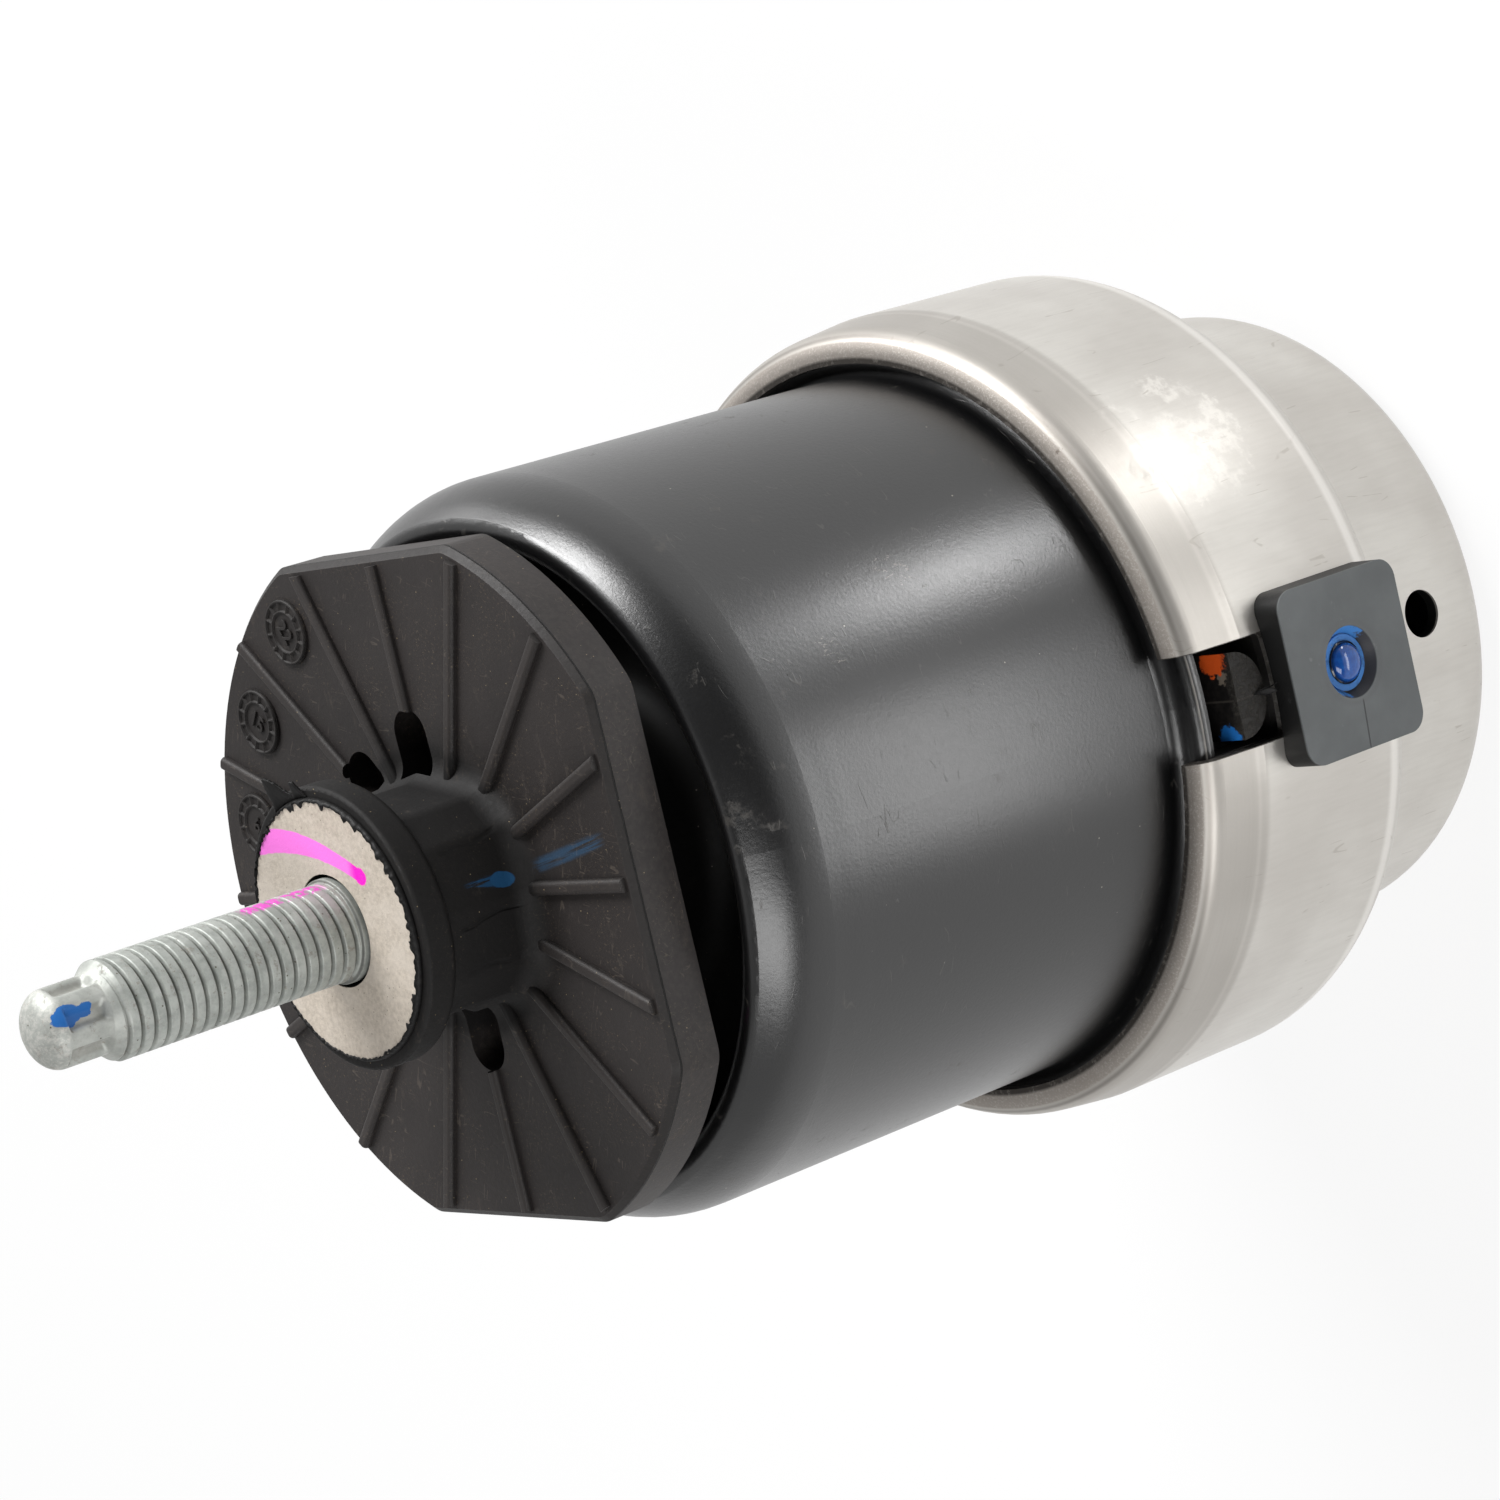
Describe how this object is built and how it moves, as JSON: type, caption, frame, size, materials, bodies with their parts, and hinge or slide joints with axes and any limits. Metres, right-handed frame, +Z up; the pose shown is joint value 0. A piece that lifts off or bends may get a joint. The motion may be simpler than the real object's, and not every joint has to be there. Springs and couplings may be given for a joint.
{
  "type": "engine mount",
  "caption": "Hydraulic engine mount: stepped steel housing with a crimped black cap, ribbed rubber stop plate and a threaded stud.",
  "frame": {"origin": "centre of the flat base face, at the mouth of the threaded hole", "axes": "+Z up along the stud, +X through the locating pad and the index slot"},
  "size_m": [0.1104, 0.1068, 0.2002],
  "materials": {
    "stud_zinc": "light grey zinc flake",
    "core_cast": "sandy as-cast",
    "insert_steel": "plain pressed steel",
    "buffer_rubber": "dusty moulded rubber",
    "cap_black": "satin black dip coat",
    "housing_silver": "satin silver coat",
    "pad_plastic": "dark grey, slightly worn",
    "plug_steel": "steel with a blue check mark",
    "seal_rubber": "smooth black rubber",
    "spring_rubber": "moulded rubber",
    "ring_steel": "turned steel",
    "channel_alloy": "die cast",
    "nut_steel": "plain steel"
  },
  "bodies": {
    "root": {"stud": "stud_zinc", "core": "core_cast", "stop_insert": "insert_steel", "stop_buffer": "buffer_rubber", "cap": "cap_black", "housing": "housing_silver", "locating_pad": "pad_plastic", "fill_plug": "plug_steel", "plug_seal": "seal_rubber", "rebound_buffer": "spring_rubber", "main_spring": "spring_rubber", "spring_ring": "ring_steel", "channel_plate": "channel_alloy", "channel_cover": "channel_alloy", "decoupler_disc": "spring_rubber", "diaphragm": "seal_rubber", "clamp_ring": "insert_steel", "base_nut": "nut_steel"}
  },
  "joints": []
}
